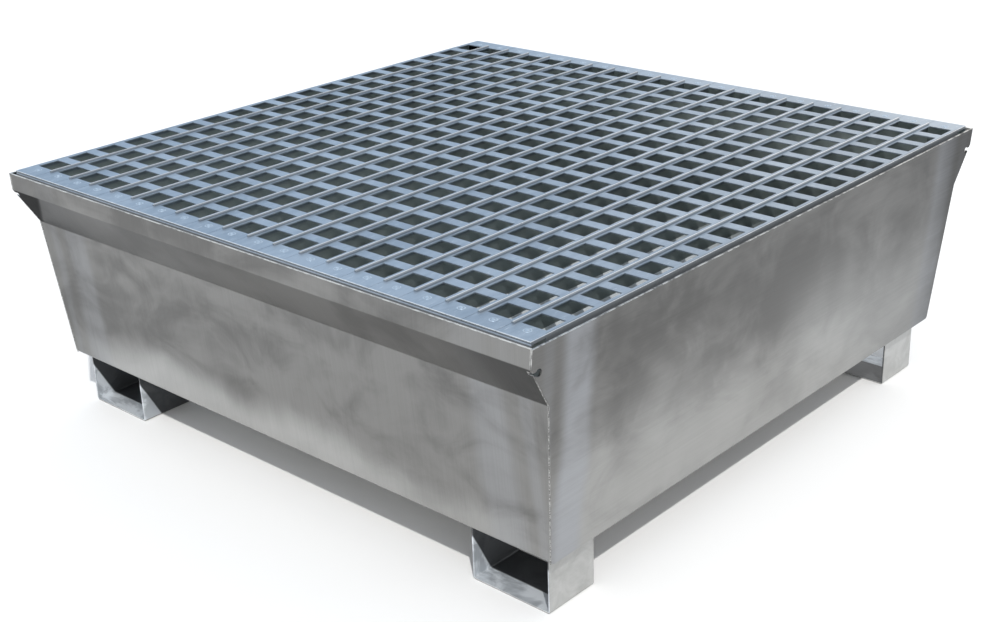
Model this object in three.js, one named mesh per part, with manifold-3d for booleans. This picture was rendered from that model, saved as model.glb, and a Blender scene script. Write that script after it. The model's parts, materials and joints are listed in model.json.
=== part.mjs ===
// Spill containment pallet for four drums: a folded stainless sump on four channel feet,
// closed by two end plates and covered by a lift-off deck of perforated planks.
// Millimetres, +Z up, the deck planks run along Y, origin on the ground below the middle.
import * as THREE from "three";
import { mergeVertices } from "three/addons/utils/BufferGeometryUtils.js";
import Module from "manifold-3d";

const wasm = await Module();
wasm.setup();

// Deck
const plankCount = 20;
const plankPitch = 60;
const plankGap = 0.6;
const plankSheet = 2;
const holeRows = 19;
const holePitch = 60;
const holeWidth = 42.5;
const holeLength = 40;
const holeOffset = 0.8; // the holes sit a little off the plank's middle, away from its lip
const deckEndMargin = 60; // from the middle of the last row of holes to the plank's end
const lipWidth = 4;
const lipHeight = 3.5;
const railFlange = 30;
const railSheet = 2.5;
const deckProud = 5; // the deck's top stands this far above the rim

// Sump
const sumpSheet = 3;
const bendRadius = 3;
const deckSideGap = 7;
const deckEndGap = 5;
const rimHeight = 30;
const flareHeight = 68;
const flareInset = 40;
const wallHeight = 262;
const wallTaper = 21.5;
const endPlateLean = 29; // how far the foot of an end plate lies inside its top edge
const reliefRadius = 6;
const reliefInset = 9; // from the sheet's outer face to the middle of the relief's round end
const reliefDrop = 8; // below the fold between rim and flare
const reliefSlot = 6; // height of the slot that opens the relief to the outside
const reliefDepth = 8; // how far the relief reaches into the folded sheet

// Feet
const footWidth = 150;
const footDepth = 100;
const footHeight = 100;
const footSheet = 3;
const footBendRadius = 2.5;
const footSideInset = 20; // inside the floor's end edge
const footEndInset = 17; // inside the floor's front or back edge

// Fits
const touchGap = 0.3; // between faces that rest on each other or are welded
const arcSteps = 4;

// Sizes that follow from the ones above
const deckWidth = plankCount * plankPitch;
const deckLength = (holeRows - 1) * holePitch + 2 * deckEndMargin;
const halfX = deckWidth / 2 + deckSideGap + sumpSheet;
const halfY = deckLength / 2 + deckEndGap + sumpSheet;
const floorZ = footHeight + touchGap;
const flareFootZ = floorZ + wallHeight;
const foldZ = flareFootZ + flareHeight;
const rimZ = foldZ + rimHeight;
const deckZ = rimZ + deckProud;
const floorHalfX = halfX - endPlateLean;
const floorHalfY = halfY - flareInset - wallTaper;

const stainless = { color: 0x9c9c9a, roughness: 0.36, metalness: 1 };
const galvanised = { color: 0x93a2b3, roughness: 0.46, metalness: 1 };
const zinc = { color: 0xa9b0b6, roughness: 0.42, metalness: 1 };

// A closed geometry as a solid that can be joined and cut
function solidOf(geometry) {
  const bare = geometry.clone();
  bare.deleteAttribute("normal");
  bare.deleteAttribute("uv");
  const merged = mergeVertices(bare, 1e-4);
  return new wasm.Manifold(
    new wasm.Mesh({
      numProp: 3,
      vertProperties: merged.attributes.position.array,
      triVerts: new Uint32Array(merged.index.array),
    }),
  );
}

function geometryOf(solid) {
  const mesh = solid.getMesh();
  const geometry = new THREE.BufferGeometry();
  geometry.setAttribute("position", new THREE.BufferAttribute(mesh.vertProperties, 3));
  geometry.setIndex(new THREE.BufferAttribute(mesh.triVerts, 1));
  geometry.computeVertexNormals();
  return geometry;
}

function namedMesh(name, geometry, finish) {
  const mesh = new THREE.Mesh(geometry, new THREE.MeshStandardMaterial(finish));
  mesh.name = name;
  return mesh;
}

// A box from its lowest to its highest corner
function boxBetween(low, high) {
  const size = high.map((value, axis) => value - low[axis]);
  const box = new THREE.BoxGeometry(...size);
  box.translate(...low.map((value, axis) => value + size[axis] / 2));
  return box;
}

function extruded(points, length) {
  const shape = new THREE.Shape(points);
  return new THREE.ExtrudeGeometry(shape, { depth: length, bevelEnabled: false });
}

// An outline drawn in Y and Z, extruded along X on both sides of the middle
function alongX(points, length) {
  const axes = new THREE.Matrix4().makeBasis(
    new THREE.Vector3(0, 1, 0),
    new THREE.Vector3(0, 0, 1),
    new THREE.Vector3(1, 0, 0),
  );
  const geometry = extruded(points, length);
  geometry.translate(0, 0, -length / 2);
  return geometry.applyMatrix4(axes);
}

// An outline drawn in X and Z, extruded along Y on both sides of the middle
function alongY(points, length) {
  const geometry = extruded(points, length);
  geometry.translate(0, 0, -length / 2);
  return geometry.rotateX(Math.PI / 2);
}

// The two faces of a bent sheet: the first follows the corners given, the second lies one
// thickness to the left of it, and every bend is an arc with the radius on its inner side.
function sheetFaces(corners, thickness, radius) {
  const first = [];
  const second = [];
  const heading = (from, to) => to.clone().sub(from).normalize();
  const leftOf = (direction) => new THREE.Vector2(-direction.y, direction.x);
  corners.forEach((corner, index) => {
    const before = index > 0 ? heading(corners[index - 1], corner) : null;
    const after = index < corners.length - 1 ? heading(corner, corners[index + 1]) : null;
    if (!before || !after) {
      first.push(corner.clone());
      second.push(corner.clone().addScaledVector(leftOf(before ?? after), thickness));
      return;
    }
    const turn = Math.atan2(before.cross(after), before.dot(after));
    const side = Math.sign(turn);
    const firstRadius = side > 0 ? radius + thickness : radius;
    const secondRadius = firstRadius - side * thickness;
    const outward = leftOf(before).multiplyScalar(-side);
    const centre = corner
      .clone()
      .addScaledVector(before, -firstRadius * Math.tan(Math.abs(turn) / 2))
      .addScaledVector(outward, -firstRadius);
    for (let step = 0; step <= arcSteps; step++) {
      const spoke = outward.clone().rotateAround(new THREE.Vector2(), (turn * step) / arcSteps);
      first.push(centre.clone().addScaledVector(spoke, firstRadius));
      second.push(centre.clone().addScaledVector(spoke, secondRadius));
    }
  });
  return { first, second };
}

function sheetOutline(corners, thickness, radius) {
  const { first, second } = sheetFaces(corners, thickness, radius);
  return [...first, ...second.reverse()];
}

// Outer corners of the folded sump sheet, from the front rim down, across and up to the back rim
function sumpCorners() {
  const front = [
    new THREE.Vector2(-halfY, rimZ),
    new THREE.Vector2(-halfY, foldZ),
    new THREE.Vector2(-halfY + flareInset, flareFootZ),
    new THREE.Vector2(-floorHalfY, floorZ),
  ];
  const back = front.map((corner) => new THREE.Vector2(-corner.x, corner.y)).reverse();
  return [...front, ...back];
}

// The place on an end plate, level by level, of the face that lies inset from its outer face
const plateX = (z, inset) => floorHalfX + ((z - floorZ) / (rimZ - floorZ)) * endPlateLean - inset;

// Where the deck's bottom edge meets the sloping inner face of the flare
function deckSeatZ() {
  const flare = new THREE.Vector2(flareInset, -flareHeight).normalize();
  const inward = new THREE.Vector2(-flare.y, flare.x);
  const start = new THREE.Vector2(-halfY, foldZ).addScaledVector(inward, sumpSheet);
  return start.y + ((-deckLength / 2 - start.x) / flare.x) * flare.y;
}

// Bend reliefs at both ends of the flare: slots with a round inner end, open to the outside
function flareReliefs(sign) {
  const level = foldZ - reliefDrop;
  const faceX = plateX(level, 0);
  const low = faceX - sumpSheet - reliefDepth;
  const high = faceX + sumpSheet;
  const onFlare = halfY - (reliefDrop / flareHeight) * flareInset - reliefInset;
  const half = reliefSlot / 2;
  const cuts = [-1, 1].map((side) => {
    const round = new THREE.CylinderGeometry(reliefRadius, reliefRadius, high - low, 20);
    round.rotateZ(Math.PI / 2);
    round.translate((sign * (low + high)) / 2, side * onFlare, level);
    const [left, right] = [sign * low, sign * high].sort((a, b) => a - b);
    const [near, far] = [side * onFlare, side * (halfY + sumpSheet)].sort((a, b) => a - b);
    const slot = boxBetween([left, near, level - half], [right, far, level + half]);
    return solidOf(round).add(solidOf(slot));
  });
  return cuts[0].add(cuts[1]);
}

function sumpSheetBody() {
  const strip = solidOf(alongX(sheetOutline(sumpCorners(), sumpSheet, bendRadius), 2 * halfX));
  const below = floorZ - sumpSheet;
  const above = rimZ + sumpSheet;
  const inset = sumpSheet + touchGap;
  const between = alongY(
    [
      new THREE.Vector2(-plateX(below, inset), below),
      new THREE.Vector2(plateX(below, inset), below),
      new THREE.Vector2(plateX(above, inset), above),
      new THREE.Vector2(-plateX(above, inset), above),
    ],
    3 * halfY,
  );
  const trimmed = strip.intersect(solidOf(between));
  return geometryOf(trimmed.subtract(flareReliefs(1)).subtract(flareReliefs(-1)));
}

function endPlate(sign) {
  const outer = sheetFaces(sumpCorners(), sumpSheet, bendRadius).first;
  const outline = solidOf(alongX(outer, 3 * halfX));
  const below = floorZ - sumpSheet;
  const above = rimZ + sumpSheet;
  const slab = alongY(
    [
      new THREE.Vector2(plateX(below, sumpSheet), below),
      new THREE.Vector2(plateX(below, 0), below),
      new THREE.Vector2(plateX(above, 0), above),
      new THREE.Vector2(plateX(above, sumpSheet), above),
    ],
    3 * halfY,
  );
  if (sign < 0) slab.rotateZ(Math.PI);
  return geometryOf(outline.intersect(solidOf(slab)).subtract(flareReliefs(sign)));
}

// A channel open at the front and back, with its base on the ground
function foot() {
  const half = footWidth / 2;
  const corners = [
    new THREE.Vector2(-half, footHeight),
    new THREE.Vector2(-half, 0),
    new THREE.Vector2(half, 0),
    new THREE.Vector2(half, footHeight),
  ];
  return alongY(sheetOutline(corners, footSheet, footBendRadius), footDepth);
}

// The rounded lip that stands along a plank's left edge
function plankLip(left, length) {
  const radius = lipWidth / 2;
  const middle = left + radius;
  const outline = [
    new THREE.Vector2(left, deckZ - plankSheet / 2),
    new THREE.Vector2(left + lipWidth, deckZ - plankSheet / 2),
  ];
  for (let step = 0; step <= arcSteps; step++) {
    const angle = (Math.PI * step) / arcSteps;
    outline.push(
      new THREE.Vector2(
        middle + radius * Math.cos(angle),
        deckZ + lipHeight - radius + radius * Math.sin(angle),
      ),
    );
  }
  return alongY(outline, length);
}

// One plank: a perforated top, two webs that stop at the end rails, and a lip at the joint
function plank(index) {
  const middle = (index - (plankCount - 1) / 2) * plankPitch;
  const left = middle - plankPitch / 2 + plankGap / 2;
  const right = middle + plankPitch / 2 - plankGap / 2;
  const half = deckLength / 2;
  const top = new THREE.Shape([
    new THREE.Vector2(left, -half),
    new THREE.Vector2(right, -half),
    new THREE.Vector2(right, half),
    new THREE.Vector2(left, half),
  ]);
  const holeLeft = middle + holeOffset - holeWidth / 2;
  for (let row = 0; row < holeRows; row++) {
    const holeFront = (row - (holeRows - 1) / 2) * holePitch - holeLength / 2;
    top.holes.push(
      new THREE.Path([
        new THREE.Vector2(holeLeft, holeFront),
        new THREE.Vector2(holeLeft, holeFront + holeLength),
        new THREE.Vector2(holeLeft + holeWidth, holeFront + holeLength),
        new THREE.Vector2(holeLeft + holeWidth, holeFront),
      ]),
    );
  }
  const topSheet = new THREE.ExtrudeGeometry(top, { depth: plankSheet, bevelEnabled: false });
  topSheet.translate(0, 0, deckZ - plankSheet);
  const webHalf = half - railFlange - plankGap;
  const webFoot = deckSeatZ() + touchGap;
  const webTop = deckZ - plankSheet / 2;
  let solid = solidOf(topSheet);
  for (const webLeft of [left, right - plankSheet]) {
    const web = boxBetween([webLeft, -webHalf, webFoot], [webLeft + plankSheet, webHalf, webTop]);
    solid = solid.add(solidOf(web));
  }
  if (index > 0) solid = solid.add(solidOf(plankLip(left, 2 * webHalf)));
  return geometryOf(solid);
}

// An angle under the plank ends: its flange carries their tops, its outer leg sits on the flare
function endRail(sign) {
  const outerY = deckLength / 2;
  const top = deckZ - plankSheet - touchGap;
  const corners = [
    new THREE.Vector2(-outerY + railFlange, top),
    new THREE.Vector2(-outerY, top),
    new THREE.Vector2(-outerY, deckSeatZ() + touchGap),
  ];
  const rail = alongX(sheetOutline(corners, railSheet, railSheet), deckWidth - plankGap);
  return sign > 0 ? rail.rotateZ(Math.PI) : rail;
}

const sump = new THREE.Group();
sump.add(namedMesh("sump_body_sheet", sumpSheetBody(), stainless));
sump.add(namedMesh("end_plate_left", endPlate(-1), stainless));
sump.add(namedMesh("end_plate_right", endPlate(1), stainless));
for (const [endName, ySign] of [["front", -1], ["back", 1]]) {
  for (const [sideName, xSign] of [["left", -1], ["right", 1]]) {
    const mesh = namedMesh(`foot_${endName}_${sideName}`, foot(), zinc);
    mesh.position.x = xSign * (floorHalfX - footSideInset - footWidth / 2);
    mesh.position.y = ySign * (floorHalfY - footEndInset - footDepth / 2);
    sump.add(mesh);
  }
}

const deck = new THREE.Group();
for (let index = 0; index < plankCount; index++) {
  const label = String(index + 1).padStart(2, "0");
  deck.add(namedMesh(`deck_plank_${label}`, plank(index), galvanised));
}
deck.add(namedMesh("deck_front_rail", endRail(-1), galvanised));
deck.add(namedMesh("deck_back_rail", endRail(1), galvanised));

const pallet = new THREE.Group();
pallet.add(sump, deck);

export default pallet;
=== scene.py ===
# Looks for the spill containment pallet: satin galvanised deck planks, a brushed stainless
# sump, bright channel feet, their welds, a pale floor and soft daylight.
import json
import math

import bmesh
import bpy
from mathutils import Euler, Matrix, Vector

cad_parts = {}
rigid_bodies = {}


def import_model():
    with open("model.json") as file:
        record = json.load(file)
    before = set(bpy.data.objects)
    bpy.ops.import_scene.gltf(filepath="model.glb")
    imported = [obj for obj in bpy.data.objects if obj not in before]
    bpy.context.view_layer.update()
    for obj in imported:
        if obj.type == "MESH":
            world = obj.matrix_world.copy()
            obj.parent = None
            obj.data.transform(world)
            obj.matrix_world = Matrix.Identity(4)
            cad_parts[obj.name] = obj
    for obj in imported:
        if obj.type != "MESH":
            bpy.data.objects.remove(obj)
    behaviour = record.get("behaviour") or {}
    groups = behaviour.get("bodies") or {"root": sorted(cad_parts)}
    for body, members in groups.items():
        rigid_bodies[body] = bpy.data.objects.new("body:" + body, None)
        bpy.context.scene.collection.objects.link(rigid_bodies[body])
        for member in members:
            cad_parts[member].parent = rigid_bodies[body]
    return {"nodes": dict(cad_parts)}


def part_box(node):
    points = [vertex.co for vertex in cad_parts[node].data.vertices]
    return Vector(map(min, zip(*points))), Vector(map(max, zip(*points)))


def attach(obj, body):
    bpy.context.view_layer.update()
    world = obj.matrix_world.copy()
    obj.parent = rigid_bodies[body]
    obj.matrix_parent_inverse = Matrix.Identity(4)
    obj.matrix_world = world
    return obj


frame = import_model()
scene = bpy.context.scene
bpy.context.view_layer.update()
print("frame loaded:", len(frame["nodes"]), "nodes")


class Wire:
    # One output socket, so that sums on it add Math nodes
    def __init__(self, tree, socket):
        self.tree = tree
        self.socket = socket

    def maths(self, operation, other=0.0, swapped=False):
        made = self.tree.nodes.new("ShaderNodeMath")
        made.operation = operation
        self.tree.links.new(self.socket, made.inputs[1 if swapped else 0])
        free = made.inputs[0 if swapped else 1]
        if isinstance(other, Wire):
            self.tree.links.new(other.socket, free)
        else:
            free.default_value = other
        return Wire(self.tree, made.outputs[0])

    def __add__(self, other):
        return self.maths("ADD", other)

    def __radd__(self, other):
        return self.maths("ADD", other)

    def __sub__(self, other):
        return self.maths("SUBTRACT", other)

    def __rsub__(self, other):
        return self.maths("SUBTRACT", other, swapped=True)

    def __mul__(self, other):
        return self.maths("MULTIPLY", other)

    def __rmul__(self, other):
        return self.maths("MULTIPLY", other)

    def __truediv__(self, other):
        return self.maths("DIVIDE", other)

    def __abs__(self):
        return self.maths("ABSOLUTE")


class Finish:
    # A material with its node tree and the few patterns that the finishes share
    def __init__(self, name="", world=None):
        self.material = world or bpy.data.materials.new(name)
        self.material.use_nodes = True
        self.tree = self.material.node_tree
        self.tree.nodes.clear()
        self.place = self.node("ShaderNodeTexCoord", output="Generated" if world else "Object")
        self.x, self.y, self.z = (self.axis(self.place, letter) for letter in "XYZ")

    def node(self, kind, settings=None, sockets=None, output=0):
        made = self.tree.nodes.new(kind)
        for name, value in (settings or {}).items():
            setattr(made, name, value)
        for name, value in (sockets or {}).items():
            if isinstance(value, Wire):
                self.tree.links.new(value.socket, made.inputs[name])
            else:
                made.inputs[name].default_value = value
        return None if output is None else Wire(self.tree, made.outputs[output])

    def axis(self, vector, letter):
        return self.node("ShaderNodeSeparateXYZ", sockets={"Vector": vector}, output=letter)

    # Noise from 0 to 1, its grain stretched by a scale for each axis
    def noise(self, scale, detail=3.0, roughness=0.5, shift=(0, 0, 0), distortion=0.0):
        sockets = {"Vector": self.place, "Scale": scale, "Location": shift}
        moved = self.node("ShaderNodeMapping", sockets=sockets)
        settings = {"noise_dimensions": "3D"}
        sockets = {"Vector": moved, "Scale": 1.0, "Detail": detail, "Roughness": roughness,
                   "Distortion": distortion}
        return self.node("ShaderNodeTexNoise", settings, sockets, "Fac")

    # 0 up to low, 1 from high on, smooth between
    def step(self, value, low, high):
        sockets = {"Value": value, "From Min": low, "From Max": high}
        return self.node("ShaderNodeMapRange", {"interpolation_type": "SMOOTHSTEP"}, sockets)

    # 1 within reach of a place, fading to 0 over the fade
    def near(self, value, place, reach, fade):
        return 1 - self.step(abs(value - place), reach, reach + fade)

    def mix(self, factor, first, second):
        first = first if isinstance(first, Wire) else (*first, 1)
        second = second if isinstance(second, Wire) else (*second, 1)
        return self.node("ShaderNodeMix", {"data_type": "RGBA"}, {0: factor, 6: first, 7: second}, 2)

    # A colour made lighter or darker by a value
    def shade(self, colour, value):
        grey = self.node("ShaderNodeCombineColor", sockets={0: value, 1: value, 2: value})
        settings = {"data_type": "RGBA", "blend_type": "MULTIPLY"}
        return self.node("ShaderNodeMix", settings, {0: 1.0, 6: colour, 7: grey}, 2)

    def bump(self, height, strength, distance):
        sockets = {"Height": height, "Strength": strength, "Distance": distance}
        return self.node("ShaderNodeBump", sockets=sockets)

    def finished(self, **sockets):
        named = {name.replace("_", " "): value for name, value in sockets.items()}
        shader = self.node("ShaderNodeBsdfPrincipled", sockets=named)
        self.node("ShaderNodeOutputMaterial", sockets={"Surface": shader}, output=None)
        return self.material


sumpFinish = {
    "dark": (0.158, 0.156, 0.152),
    "light": (0.262, 0.259, 0.252),
    # painted reflection colour for the brighter foot of the walls
    "floorReflection": (0.50, 0.50, 0.490),
    "streakSheen": (0.37, 0.38, 0.40),  # cooler painted reflection streaks where the welding drew the sheet out of true
    # painted highlight colour for the rim and corner edges
    "edge": (0.80, 0.80, 0.78),
    "roughness": 0.33,
    "floorLevel": 0.1003,
    "flareFoot": 0.3623,
    "fold": 0.4303,
    "rim": 0.4603,
    "halfFloor": 0.581,
    "plateLean": 0.029,  # how much further out the end plates stand at the rim
    "seamPlace": 0.0034,  # the joint lies this far inside an end plate's outer face
    "grain": 1100,  # brush lines across one metre
    "hairShare": 0.3,
    "clouds": (2.4, 2.4, 4.0),
    "patches": (8, 8, 12),
    "wander": (4.2, 4.2, 2.2),
    "waves": (3.2, 3.2, 3.8),
    "chips": (90, 90, 90),
    "toneFrom": 0.39,
    "toneTo": 0.61,
    "footWander": 2.2,
    "footFadesFrom": 0.47,  # towards the corners
    "atCorner": 0.56,  # where those tones are full
    "brushTone": 0.16,
    "hairTone": 0.14,
    "streakGap": 0.066,  # between the two streaks beside a corner
    "outerStreak": 0.3,
    "sharpCorner": (0.948, 0.964),  # slanted border of the painted shade at the flare's left end
    "softCorner": (0.86, 0.99),
    "softShare": 0.45,
    "flareTone": 0.32,
    "innerLightGain": 1.4,  # painted light: the flare's inner face is painted far brighter than its outer face
    "waveDepth": 0.006,
    "brushDepth": 0.00002,
}
# "grazing" is how much less than a mirror the steel reflects at a flat angle
bodyGrain = {
    "stretch": (1.0, 0.02, 0.015),
    "floorReflectionHeight": 0.055,
    "topTone": 0.98,
    "streak": 0.500,
    "floorReflectionShare": 0.62,
    "sheenShare": 0.42,
    "grazing": 0.78,
    "folded": True,
}
plateGrain = {
    "stretch": (1.0, 0.015, 1.0),
    "floorReflectionHeight": 0.165,
    "topTone": 0.72,
    "streak": 0.510,
    "floorReflectionShare": 0.36,
    "sheenShare": 1.0,
    "grazing": 0.88,
    "folded": False,
}


def stainless(name, grain):
    look = sumpFinish
    folded = grain["folded"]
    steel = Finish(name)
    lines = [look["grain"] * share for share in grain["stretch"]]
    brush = steel.noise(lines, detail=2.0, roughness=0.6)
    hairs = steel.noise([line * look["hairShare"] for line in lines], detail=2.0, shift=(5, 2, 4))
    clouds = steel.noise(look["clouds"], detail=3.0, roughness=0.55, distortion=1.1)
    patches = steel.noise(look["patches"], detail=4.0, roughness=0.6, shift=(3, 1, 7), distortion=0.7)
    wander = steel.noise(look["wander"], detail=2.0, shift=(9, 4, 2), distortion=0.5) - 0.5
    span = abs(steel.x if folded else steel.y)

    tone = steel.step(clouds * 0.55 + patches * 0.45, look["toneFrom"], look["toneTo"])
    colour = steel.mix(tone, look["dark"], look["light"])

    # painted reflection of the bright floor: brighter foot of the walls, uneven along the wall
    reach = grain["floorReflectionHeight"]
    height = steel.z - look["floorLevel"] + wander * reach * look["footWander"]
    floorReflection = 1 - steel.step(height, reach * 0.3, reach * 1.6)
    floorReflection = floorReflection * (1 - steel.step(span, look["footFadesFrom"], look["atCorner"]) * 0.75)
    if folded:
        floorReflection = floorReflection * (1 - steel.step(steel.x, 0.15, 0.40) * 0.35)
    colour = steel.mix(floorReflection * (grain["floorReflectionShare"] + 0.35 * patches), colour, look["floorReflection"])

    # painted reflection: pale upright streaks beside each welded corner, weaker on the flare and the rim
    upper = 0.0
    if folded:
        upper = steel.step(steel.z, look["flareFoot"] - 0.002, look["flareFoot"] + 0.001)
    inner = steel.near(span + wander * 0.07, grain["streak"], 0.016, 0.030)
    outer = steel.near(span + wander * 0.04, grain["streak"] + look["streakGap"], 0.003, 0.014)
    streaks = inner * grain["sheenShare"] + outer * look["outerStreak"]
    streaks = streaks * (0.5 + tone * 0.5) * (1 - upper * 0.7)
    colour = steel.mix(streaks, colour, look["streakSheen"])

    # painted shade: the walls get darker towards the rim
    value = 1 - steel.step(steel.z, 0.2, look["rim"]) * (1 - grain["topTone"])
    value = value + (brush - 0.5) * look["brushTone"] + (hairs - 0.5) * look["hairTone"]
    metal = 1.0
    dull = 0.0
    if folded:
        # the outer flare is darkest and roughest: painted shade standing for a reflection of shaded floor,
        # sharp-cornered at its left end and soft at the right; the wall also darkens towards its left end
        flare = upper * (1 - steel.step(steel.z, look["fold"] - 0.002, look["fold"] + 0.001))
        shaded = steel.step(steel.z - steel.x, *look["sharpCorner"])
        soft = steel.step(steel.x + steel.z + wander * 0.2, *look["softCorner"])
        shaded = shaded + soft * look["softShare"]
        value = value - steel.step(steel.x * -1, 0.40, look["atCorner"]) * 0.16
        normal = steel.node("ShaderNodeTexCoord", output="Normal")
        facing = steel.step(steel.axis(normal, "Y") * steel.y, 0.05, 0.10)
        metal = 1 - flare * shaded * facing * 0.7 - (1 - facing) * upper * 0.5
        dull = flare * shaded * facing * 0.45
        flareShade = look["flareTone"] + steel.step(span, 0.35, 0.6) * 0.20 * (0.5 + tone) + shaded * 0.30
        flareShade = flareShade + steel.step(steel.x * -1, 0.25, 0.50) * 0.20
        # painted shade on the outer flare, painted light on the inner faces above the flare foot
        value = value - flare * facing * flareShade + (1 - facing) * upper * look["innerLightGain"]
    else:
        # the end plates darken towards the back and at both ends
        value = value - steel.step(steel.y + wander * 0.3, 0.10, 0.60) * 0.26
        value = value - steel.step(steel.y, 0.46, look["atCorner"]) * 0.26
        value = value - steel.step(steel.y * -1, 0.525, look["atCorner"]) * 0.12
    colour = steel.shade(colour, value)

    # bright sheared edges along the rim and the corner joints, with a painted highlight on them
    lean = (steel.z - look["floorLevel"]) * (look["plateLean"] / (look["rim"] - look["floorLevel"]))
    inside = lean + look["halfFloor"] - abs(steel.x)
    if folded:
        joint = 1 - steel.step(inside, look["seamPlace"] + 0.0004, look["seamPlace"] + 0.0012)
    else:
        joint = steel.step(inside, 0.0003, 0.0006) * (1 - steel.step(inside, 0.0022, 0.0026))
    top = steel.step(steel.z, look["rim"] - 0.0009, look["rim"] - 0.0002)
    broken = steel.step(steel.noise(look["chips"], detail=2.0), 0.38, 0.62)
    joint = joint * (0.25 + steel.step(steel.z, look["fold"], look["fold"] + 0.004) * 0.35)
    wearAndHighlight = (top * 0.75).maths("MAXIMUM", joint) * (0.15 + broken * 0.85)
    colour = steel.mix(wearAndHighlight, colour, look["edge"])
    rough = look["roughness"] + (brush - 0.5) * 0.12 + (patches - 0.5) * 0.16 + dull
    waves = steel.noise(look["waves"], detail=1.0, shift=(2, 8, 5))
    return steel.finished(
        Base_Color=colour, Metallic=metal, Roughness=rough, Specular_Tint=(*[grain["grazing"]] * 3, 1),
        Normal=steel.bump(waves * look["waveDepth"] + brush * look["brushDepth"], 1.0, 1.0),
    )


def dress(start, material):
    for node, piece in frame["nodes"].items():
        if node.startswith(start):
            piece.data.materials.clear()
            piece.data.materials.append(material)


dress("sump_body_sheet", stainless("brushed_stainless_body", bodyGrain))
dress("end_plate_", stainless("brushed_stainless_ends", plateGrain))
print("sump finished")


deckFinish = {
    "land": (0.318, 0.381, 0.455),
    "landLight": (0.427, 0.495, 0.573),
    "lipSide": (0.30, 0.33, 0.36),
    # rubbed wear, and the painted highlight on lip crests and outer edges
    "wearAndHighlight": (0.90, 0.92, 0.94),
    "below": (0.54, 0.61, 0.595),
    "side": (0.23, 0.245, 0.26),
    "webLit": 0.4375,  # a painted sunlit patch lies on the webs below this height
    "bare": (0.92, 0.97, 1.0),
    "bareTo": (-0.20, 0.10),  # but only in the front part of the deck
    "groove": (0.16, 0.18, 0.20),
    "roughness": 0.40,
    "top": 0.4653,
    "halfDeck": 0.600,
    "plankPitch": 0.060,
    "lipWidth": 0.0043,
    "crestPlace": 0.52,  # of the lip's width
    "endBand": 0.034,  # from the deck's edge, flat and without lips
    "clouds": (4, 4, 4),
    "fine": (90, 30, 90),
    "scuffs": (260, 45, 200),
    "metallic": 0.85,
}


def galvanised():
    look = deckFinish
    zinc = Finish("galvanised_deck")
    clouds = zinc.noise(look["clouds"], detail=3.0, roughness=0.55)
    fine = zinc.noise(look["fine"], detail=3.0, roughness=0.6, shift=(1, 5, 2))
    scuffs = zinc.noise(look["scuffs"], detail=2.0, roughness=0.7, shift=(7, 3, 1))
    tone = zinc.step(clouds * 0.6 + fine * 0.4, 0.38, 0.62)
    colour = zinc.mix(tone, look["land"], look["landLight"])
    colour = zinc.mix(zinc.step(scuffs, 0.60, 0.78) * 0.4, colour, look["wearAndHighlight"])

    # across one plank, from its left joint: darker in the groove on both sides of the lip
    half = look["halfDeck"]
    pitch = look["plankPitch"]
    across = ((zinc.x + half) / pitch).maths("FRACT") * pitch
    rail = zinc.step(abs(zinc.y), half - look["endBand"], half - look["endBand"] + 0.004)
    before = zinc.step(across, pitch - 0.0050, pitch - 0.0010)
    after = 1 - zinc.step(across, look["lipWidth"], look["lipWidth"] + 0.0030)
    grooveDarkening = (before * 0.75 + after * 0.45) * (1 - rail) * (0.7 + fine * 0.5)
    colour = zinc.mix(grooveDarkening, colour, look["groove"])

    # lips and outer edges polished bright by drums, with a painted highlight along the lip crests and the
    # outer edges
    height = look["top"]
    lip = zinc.step(zinc.z, height + 0.0014, height + 0.0026)
    flank = zinc.step(zinc.z, height + 0.0004, height + 0.0008)
    colour = zinc.mix(flank * 0.8, colour, look["lipSide"])
    reach = abs(zinc.x).maths("MAXIMUM", abs(zinc.y))
    edge = zinc.step(reach, half - 0.0018, half - 0.0008)
    edge = edge * zinc.step(zinc.z, height - 0.0012, height - 0.0002)
    fromCrest = abs(across - look["lipWidth"] * look["crestPlace"])
    crestHighlight = lip * (1 - zinc.step(fromCrest, 0.0005, 0.0015))
    colour = zinc.mix(crestHighlight * (0.85 + 0.15 * fine), colour, look["wearAndHighlight"])
    colour = zinc.mix(edge * (0.3 + fine), colour, look["wearAndHighlight"])

    # greener webs, darker outer sides, and a painted sunlit patch on the lower part of the webs
    within = 1 - zinc.step(reach, half - 0.0012, half - 0.0008)
    below = (1 - zinc.step(zinc.z, height - 0.0110, height - 0.0060)) * within
    colour = zinc.mix(below * 0.9, colour, look["below"])
    side = zinc.step(reach, half - 0.0006, half - 0.0002) * (1 - edge)
    colour = zinc.mix(side * 0.9, colour, look["side"])
    # painted light: white where sun through the holes would fall on the webs
    bare = (1 - zinc.step(zinc.z, look["webLit"] - 0.0010, look["webLit"])) * within
    bare = bare * (1 - zinc.step(zinc.y, *look["bareTo"]))
    colour = zinc.mix(bare, colour, look["bare"])
    metal = look["metallic"] + below * 0.13 - bare * 0.96 - side * 0.4
    rough = look["roughness"] + (fine - 0.5) * 0.2 - lip * 0.08 + below * 0.1
    return zinc.finished(
        Base_Color=colour, Metallic=metal, Roughness=rough,
        Normal=zinc.bump(fine * 0.00012 + clouds * 0.002, 1.0, 1.0),
    )


dress("deck_", galvanised())
print("deck finished")


footFinish = {
    "dark": (0.36, 0.362, 0.355),
    "light": (0.46, 0.462, 0.455),
    "inside": (0.40, 0.43, 0.46),
    "insideLight": (0.72, 0.76, 0.80),
    "roughness": 0.38,
    "middle": 0.486,  # from the pallet's middle plane to each foot's
    "mouth": 0.5295,  # outer mouths of the channels
    "halfInside": 0.0735,
    # painted shadow colour inside the channels
    "channelShadow": (0.035, 0.037, 0.040),
    "channelShadowFrom": 0.034,  # how far behind the outer mouth the painted shadow begins
    "channelShadowSlope": 0.50,
    "baseTop": 0.0034,
    "clouds": (14, 22, 26),
    "brush": (900, 14, 900),
    "metallic": 0.55,
    "bumpDepth": 0.0008,
}


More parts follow.
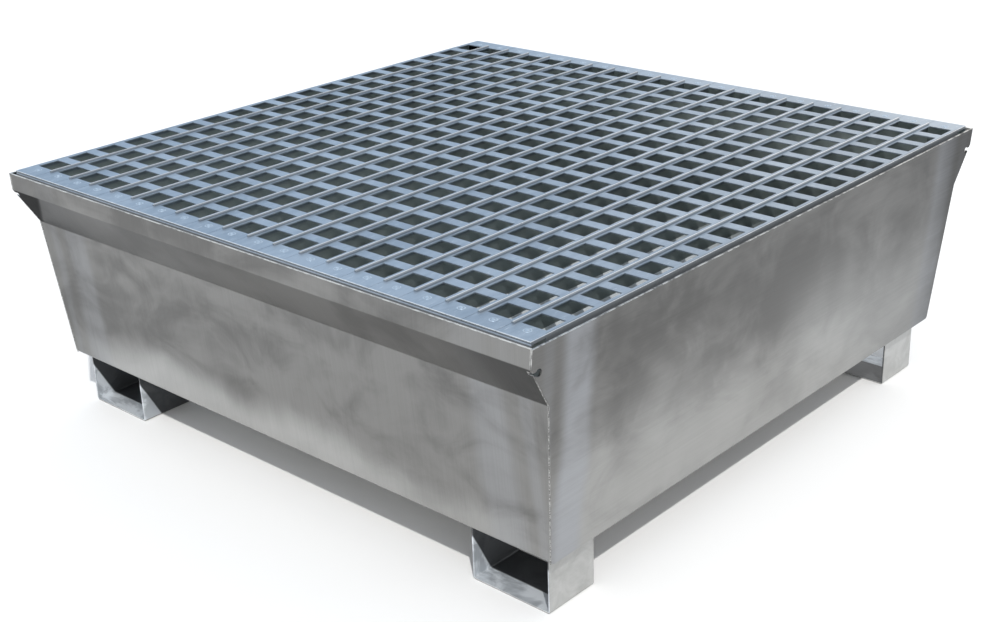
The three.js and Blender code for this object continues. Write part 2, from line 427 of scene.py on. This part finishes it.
def footSteel():
    look = footFinish
    zinc = Finish("bright_foot_steel")
    clouds = zinc.noise(look["clouds"], detail=4.0, roughness=0.6, distortion=0.8)
    brush = zinc.noise(look["brush"], detail=2.0, shift=(4, 4, 1))
    colour = zinc.mix(zinc.step(clouds, 0.30, 0.70), look["dark"], look["light"])
    colour = zinc.shade(colour, 1 + (brush - 0.5) * 0.12)

    # all but the outward face is dull and mottled, with a painted shadow in the channel behind the sunlit
    # strip at the outer mouth
    aside = abs(zinc.x) - look["middle"]
    inside = 1 - zinc.step(aside, look["halfInside"] + 0.0002, look["halfInside"] + 0.0008)
    inside = inside * zinc.step(zinc.z, look["baseTop"] - 0.0012, look["baseTop"] - 0.0006)
    dull = zinc.mix(zinc.step(clouds, 0.40, 0.60), look["inside"], look["insideLight"])
    # painted shadow: its edge slants like the sump's cast shadow, ragged like dirt
    depth = look["mouth"] - abs(zinc.y) + (zinc.z - look["baseTop"]) * look["channelShadowSlope"]
    channelShadow = zinc.step(depth + (clouds - 0.5) * 0.004, look["channelShadowFrom"], look["channelShadowFrom"] + 0.003)
    dull = zinc.mix(channelShadow * 0.92, dull, look["channelShadow"])
    colour = zinc.mix(inside, colour, dull)
    rough = look["roughness"] + (clouds - 0.5) * 0.2
    return zinc.finished(
        Base_Color=colour, Metallic=look["metallic"] - inside * 0.2, Roughness=rough,
        Normal=zinc.bump(clouds, 1.0, look["bumpDepth"]),
    )


dress("foot_", footSteel())
print("feet finished")


seamLook = {
    "dark": (0.20, 0.195, 0.19),
    "light": (0.52, 0.52, 0.51),
    "limits": (0.42, 0.6),
    "flecks": (420, 420, 420),
    "metallic": 0.95,
    "roughness": 0.3,
    "uneven": 0.2,
    "depth": 0.0004,
}
spotLook = {
    "dark": (0.38, 0.47, 0.57),
    "light": (0.53, 0.62, 0.71),
    "limits": None,
    "flecks": (160, 160, 160),
    "metallic": 0.7,
    "roughness": 0.3,
    "uneven": 0.1,
    "depth": 0.0001,
}


def weldSteel(name, look):
    weld = Finish(name)
    flecks = weld.noise(look["flecks"], detail=2.0)
    light = weld.step(flecks, *look["limits"]) if look["limits"] else flecks
    return weld.finished(
        Base_Color=weld.mix(light, look["dark"], look["light"]), Metallic=look["metallic"],
        Roughness=look["roughness"] + flecks * look["uneven"],
        Normal=weld.bump(flecks, 1.0, look["depth"]),
    )


seamSteel = weldSteel("weld_bead_steel", seamLook)
spotSteel = weldSteel("weld_spot_steel", spotLook)


class Recipe:
    # A geometry tree with named inputs, put on an object and turned into a plain mesh
    def __init__(self, name, inputs):
        self.tree = bpy.data.node_groups.new(name, "GeometryNodeTree")
        self.tree.interface.new_socket("Geometry", in_out="INPUT", socket_type="NodeSocketGeometry")
        self.tree.interface.new_socket("Geometry", in_out="OUTPUT", socket_type="NodeSocketGeometry")
        self.ids = {}
        for label, kind in inputs.items():
            socketType = "NodeSocket" + kind
            made = self.tree.interface.new_socket(label, in_out="INPUT", socket_type=socketType)
            self.ids[label] = made.identifier
        self.entry = self.tree.nodes.new("NodeGroupInput")

    def asked(self, label):
        return self.entry.outputs[label]

    def node(self, kind, settings=None, sockets=None, output=0):
        made = self.tree.nodes.new(kind)
        for name, value in (settings or {}).items():
            setattr(made, name, value)
        for name, value in (sockets or {}).items():
            if isinstance(value, bpy.types.NodeSocket):
                self.tree.links.new(value, made.inputs[name])
            else:
                made.inputs[name].default_value = value
        return made if output is None else made.outputs[output]

    def random(self, low, high):
        sockets = {0: low, 1: high, "Seed": self.asked("Seed")}
        return self.node("FunctionNodeRandomValue", {"data_type": "FLOAT_VECTOR"}, sockets)

    # Points moved at random within a box, its size scaled by a reach
    def moved(self, geometry, low, high, reach):
        drift = {0: self.random(low, high), "Scale": reach}
        offset = self.node("ShaderNodeVectorMath", {"operation": "SCALE"}, drift)
        return self.node("GeometryNodeSetPosition", sockets={"Geometry": geometry, "Offset": offset})

    def close(self, geometry, material):
        real = self.node("GeometryNodeRealizeInstances", sockets={"Geometry": geometry})
        sockets = {"Geometry": real, "Material": material}
        painted = self.node("GeometryNodeSetMaterial", sockets=sockets)
        self.node("NodeGroupOutput", sockets={"Geometry": painted}, output=None)

    def make(self, name, start, values, body):
        holder = bpy.data.objects.new(name + "_path", start)
        scene.collection.objects.link(holder)
        modifier = holder.modifiers.new("grow", "NODES")
        modifier.node_group = self.tree
        for label, value in values.items():
            modifier[self.ids[label]] = value
        seen = holder.evaluated_get(bpy.context.evaluated_depsgraph_get())
        plain = bpy.data.meshes.new_from_object(seen)
        bpy.data.objects.remove(holder)
        plain.name = name
        piece = bpy.data.objects.new(name, plain)
        scene.collection.objects.link(piece)
        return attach(piece, body)


def pathMesh(name, lines):
    mesh = bpy.data.meshes.new(name)
    points = [point for line in lines for point in line]
    edges = []
    first = 0
    for line in lines:
        edges += [(first + i, first + i + 1) for i in range(len(line) - 1)]
        first += len(line)
    mesh.from_pydata(points, edges, [])
    return mesh


# Beads laid along a path: small lumps of uneven size, close enough to run together
def beadRecipe(material):
    recipe = Recipe("weldBead", {"Radius": "Float", "Step": "Float", "Wander": "Float", "Seed": "Int"})
    asked = recipe.asked
    curve = recipe.node("GeometryNodeMeshToCurve", sockets={"Mesh": asked("Geometry")})
    spaced = {"Curve": curve, "Length": asked("Step")}
    dots = recipe.node("GeometryNodeResampleCurve", {"mode": "LENGTH"}, spaced)
    laid = recipe.moved(dots, (-1, -1, -1), (1, 1, 1), asked("Wander"))
    size = {"Radius": asked("Radius"), "Subdivisions": 2}
    lump = recipe.node("GeometryNodeMeshIcoSphere", sockets=size)
    scale = recipe.random((0.7, 0.7, 0.7), (1.0, 1.0, 1.25))
    put = {"Points": laid, "Instance": lump, "Scale": scale}
    beads = recipe.node("GeometryNodeInstanceOnPoints", sockets=put)
    solid = recipe.node("GeometryNodeRealizeInstances", sockets={"Geometry": beads})
    smooth = recipe.node("GeometryNodeSetShadeSmooth", sockets={"Geometry": solid})
    recipe.close(smooth, material)
    return recipe


# Beads along lines, riding with the sump
def layBeads(name, look, lines):
    values = {label: look[label.lower()] for label in ("Radius", "Step", "Wander", "Seed")}
    return beadRecipe(seamSteel).make(name, pathMesh(name + "_lines", lines), values, "sump")


cornerWeld = {
    "radius": 0.0010,
    "step": 0.0010,
    "wander": 0.0002,
    "seed": 4,
    "outline": [(0.5465, 0.1010), (0.5680, 0.3623), (0.5915, 0.4023)],  # half width and height of the seam
    "plateShare": 0.0027,  # the seam lies this far inside the end plate's outer face
}


def cornerWelds():
    look = cornerWeld
    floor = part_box("sump_body_sheet")[0].z
    lines = []
    for xSign in (-1, 1):
        for ySign in (-1, 1):
            line = []
            for halfY, z in look["outline"]:
                lean = sumpFinish["plateLean"] * (z - floor) / (sumpFinish["rim"] - floor)
                halfX = sumpFinish["halfFloor"] + lean - look["plateShare"]
                line.append((xSign * halfX, ySign * halfY, z))
            lines.append(line)
    return layBeads("sump_corner_welds", look, lines)


cornerWelds()

footWeld = {
    "radius": 0.0017,
    "step": 0.0015,
    "wander": 0.0002,
    "seed": 9,
    "stitch": 0.022,
    "stitches": 3,
    "outside": 0.0006,  # from the foot's side
    "drop": 0.0010,  # below the foot's top
}


def footWelds():
    look = footWeld
    lines = []
    for node in frame["nodes"]:
        if not node.startswith("foot_"):
            continue
        low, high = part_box(node)
        z = high.z - look["drop"]
        for x in (low.x - look["outside"], high.x + look["outside"]):
            for index in range(look["stitches"]):
                middle = low.y + (index + 0.5) * (high.y - low.y) / look["stitches"]
                half = look["stitch"] / 2
                lines.append([(x, middle - half, z), (x, middle + half, z)])
    return layBeads("foot_stitch_welds", look, lines)


footWelds()

spotWeld = {
    "radius": 0.0056,
    "ring": 0.0012,
    "button": (2.6, 2.6, 1.1),  # the button's size, in rings
    "flatten": 0.35,
    "fromEnd": 0.026,
    "aside": 0.002,
    "scatter": 0.0016,
    "seed": 3,
}


# One spot weld at each end of every plank: a low ring with a shallow button inside it
def spotWelds():
    look = spotWeld
    floats = ("Ring Radius", "Ring Thickness", "Flatten", "Scatter")
    recipe = Recipe("spotWeld", {**{label: "Float" for label in floats}, "Seed": "Int"})
    asked = recipe.asked
    outline = {"Resolution": 18, "Radius": asked("Ring Radius")}
    circle = recipe.node("GeometryNodeCurvePrimitiveCircle", sockets=outline)
    thin = {"Resolution": 8, "Radius": asked("Ring Thickness")}
    wire = recipe.node("GeometryNodeCurvePrimitiveCircle", sockets=thin)
    ring = recipe.node("GeometryNodeCurveToMesh", sockets={"Curve": circle, "Profile Curve": wire})
    ball = {"Segments": 14, "Rings": 8, "Radius": asked("Ring Thickness")}
    button = recipe.node("GeometryNodeMeshUVSphere", sockets=ball)
    wide = recipe.node("GeometryNodeTransform", sockets={"Geometry": button, "Scale": look["button"]})
    both = recipe.node("GeometryNodeJoinGeometry", output=None)
    recipe.tree.links.new(ring, both.inputs[0])
    recipe.tree.links.new(wide, both.inputs[0])
    squash = recipe.node("ShaderNodeCombineXYZ", sockets={"X": 1.0, "Y": 1.0, "Z": asked("Flatten")})
    flat = {"Geometry": both.outputs[0], "Scale": squash}
    low = recipe.node("GeometryNodeTransform", sockets=flat)
    points = recipe.node("GeometryNodeMeshToPoints", sockets={"Mesh": asked("Geometry")})
    placed = recipe.moved(points, (-1, -1, 0), (1, 1, 0), asked("Scatter"))
    spots = recipe.node("GeometryNodeInstanceOnPoints", sockets={"Points": placed, "Instance": low})
    recipe.close(spots, spotSteel)

    places = []
    for node in frame["nodes"]:
        if node.startswith("deck_plank_"):
            lowest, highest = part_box(node)
            middle = (lowest.x + highest.x) / 2 + look["aside"]
            places += [(middle, lowest.y + look["fromEnd"], deckFinish["top"]),
                       (middle, highest.y - look["fromEnd"], deckFinish["top"])]
    start = bpy.data.meshes.new("spotPlaces")
    start.from_pydata(places, [], [])
    values = {"Ring Radius": look["radius"], "Ring Thickness": look["ring"], "Flatten": look["flatten"],
              "Scatter": look["scatter"], "Seed": look["seed"]}
    piece = recipe.make("deck_spot_welds", start, values, "deck")
    for face in piece.data.polygons:
        face.use_smooth = True
    return piece


spotWelds()
print("welds laid")


stageLook = {
    "floorSize": 60,
    "floor": (0.90, 0.895, 0.885),
    "horizon": (0.97, 0.97, 0.96),
    "zenith": (0.66, 0.72, 0.80),
    "blueLow": (0.74, 0.92, 1.10),  # a clearer patch of sky behind the left side
    "blueHigh": (0.58, 0.74, 0.93),
    "hazeSide": (1.56, 1.51, 1.44),  # bright haze low behind the right side
    "skyStrength": 0.95,
    "sunStrength": 2.3,
    "sunAngle": 1.5,
    "sunFrom": (0.632, -0.542, 1.0),
    "sunColour": (1.0, 0.985, 0.965),
}


def makeFloor():
    half = stageLook["floorSize"] / 2
    mesh = bpy.data.meshes.new("floor")
    shape = bmesh.new()
    corners = [shape.verts.new((x * half, y * half, 0)) for x, y in ((-1, -1), (1, -1), (1, 1), (-1, 1))]
    shape.faces.new(corners)
    shape.to_mesh(mesh)
    shape.free()
    floor = bpy.data.objects.new("floor", mesh)
    scene.collection.objects.link(floor)
    paint = Finish("pale_floor")
    mesh.materials.append(paint.finished(Base_Color=(*stageLook["floor"], 1), Roughness=0.9))


def makeSky():
    world = bpy.data.worlds.new("sky")
    scene.world = world
    sky = Finish(world=world)
    height = sky.step(sky.z, 0.0, 1.0)
    colour = sky.mix(height, stageLook["horizon"], stageLook["zenith"])
    clear = sky.step(sky.x * -1, 0.42, 0.62) * sky.step(sky.y, -0.1, 0.35)
    clear = clear * (1 - sky.step(sky.z, 0.5, 0.8))
    blue = sky.mix(sky.step(sky.z, 0.15, 0.50), stageLook["blueLow"], stageLook["blueHigh"])
    colour = sky.mix(clear, colour, blue)
    haze = sky.step(sky.y, 0.70, 0.90) * (1 - sky.step(sky.z, 0.35, 0.7))
    colour = sky.mix(haze, colour, stageLook["hazeSide"])
    bright = {"Color": colour, "Strength": stageLook["skyStrength"]}
    light = sky.node("ShaderNodeBackground", sockets=bright)
    sky.node("ShaderNodeOutputWorld", sockets={"Surface": light}, output=None)


def makeSun():
    lamp = bpy.data.lights.new("sun", "SUN")
    lamp.energy = stageLook["sunStrength"]
    lamp.angle = math.radians(stageLook["sunAngle"])
    lamp.color = stageLook["sunColour"]
    sun = bpy.data.objects.new("sun", lamp)
    scene.collection.objects.link(sun)
    sun.rotation_euler = Vector(stageLook["sunFrom"]).to_track_quat("Z", "Y").to_euler()


cameraView = {
    "place": (1.7541, -1.9052, 1.2514),
    "aim": (0.0171, -0.0240, 0.1614),
    "roll": -2.03,
    "lens": 54.34,
}


def makeCamera():
    data = bpy.data.cameras.new("camera")
    data.lens = cameraView["lens"]
    camera = bpy.data.objects.new("camera", data)
    scene.collection.objects.link(camera)
    place = Vector(cameraView["place"])
    facing = (Vector(cameraView["aim"]) - place).to_track_quat("-Z", "Y")
    roll = Euler((0, 0, math.radians(cameraView["roll"]))).to_quaternion()
    camera.location = place
    camera.rotation_mode = "QUATERNION"
    camera.rotation_quaternion = facing @ roll
    scene.camera = camera


makeFloor()
makeSky()
makeSun()
makeCamera()
scene.view_settings.view_transform = "Standard"
print("stage ready")
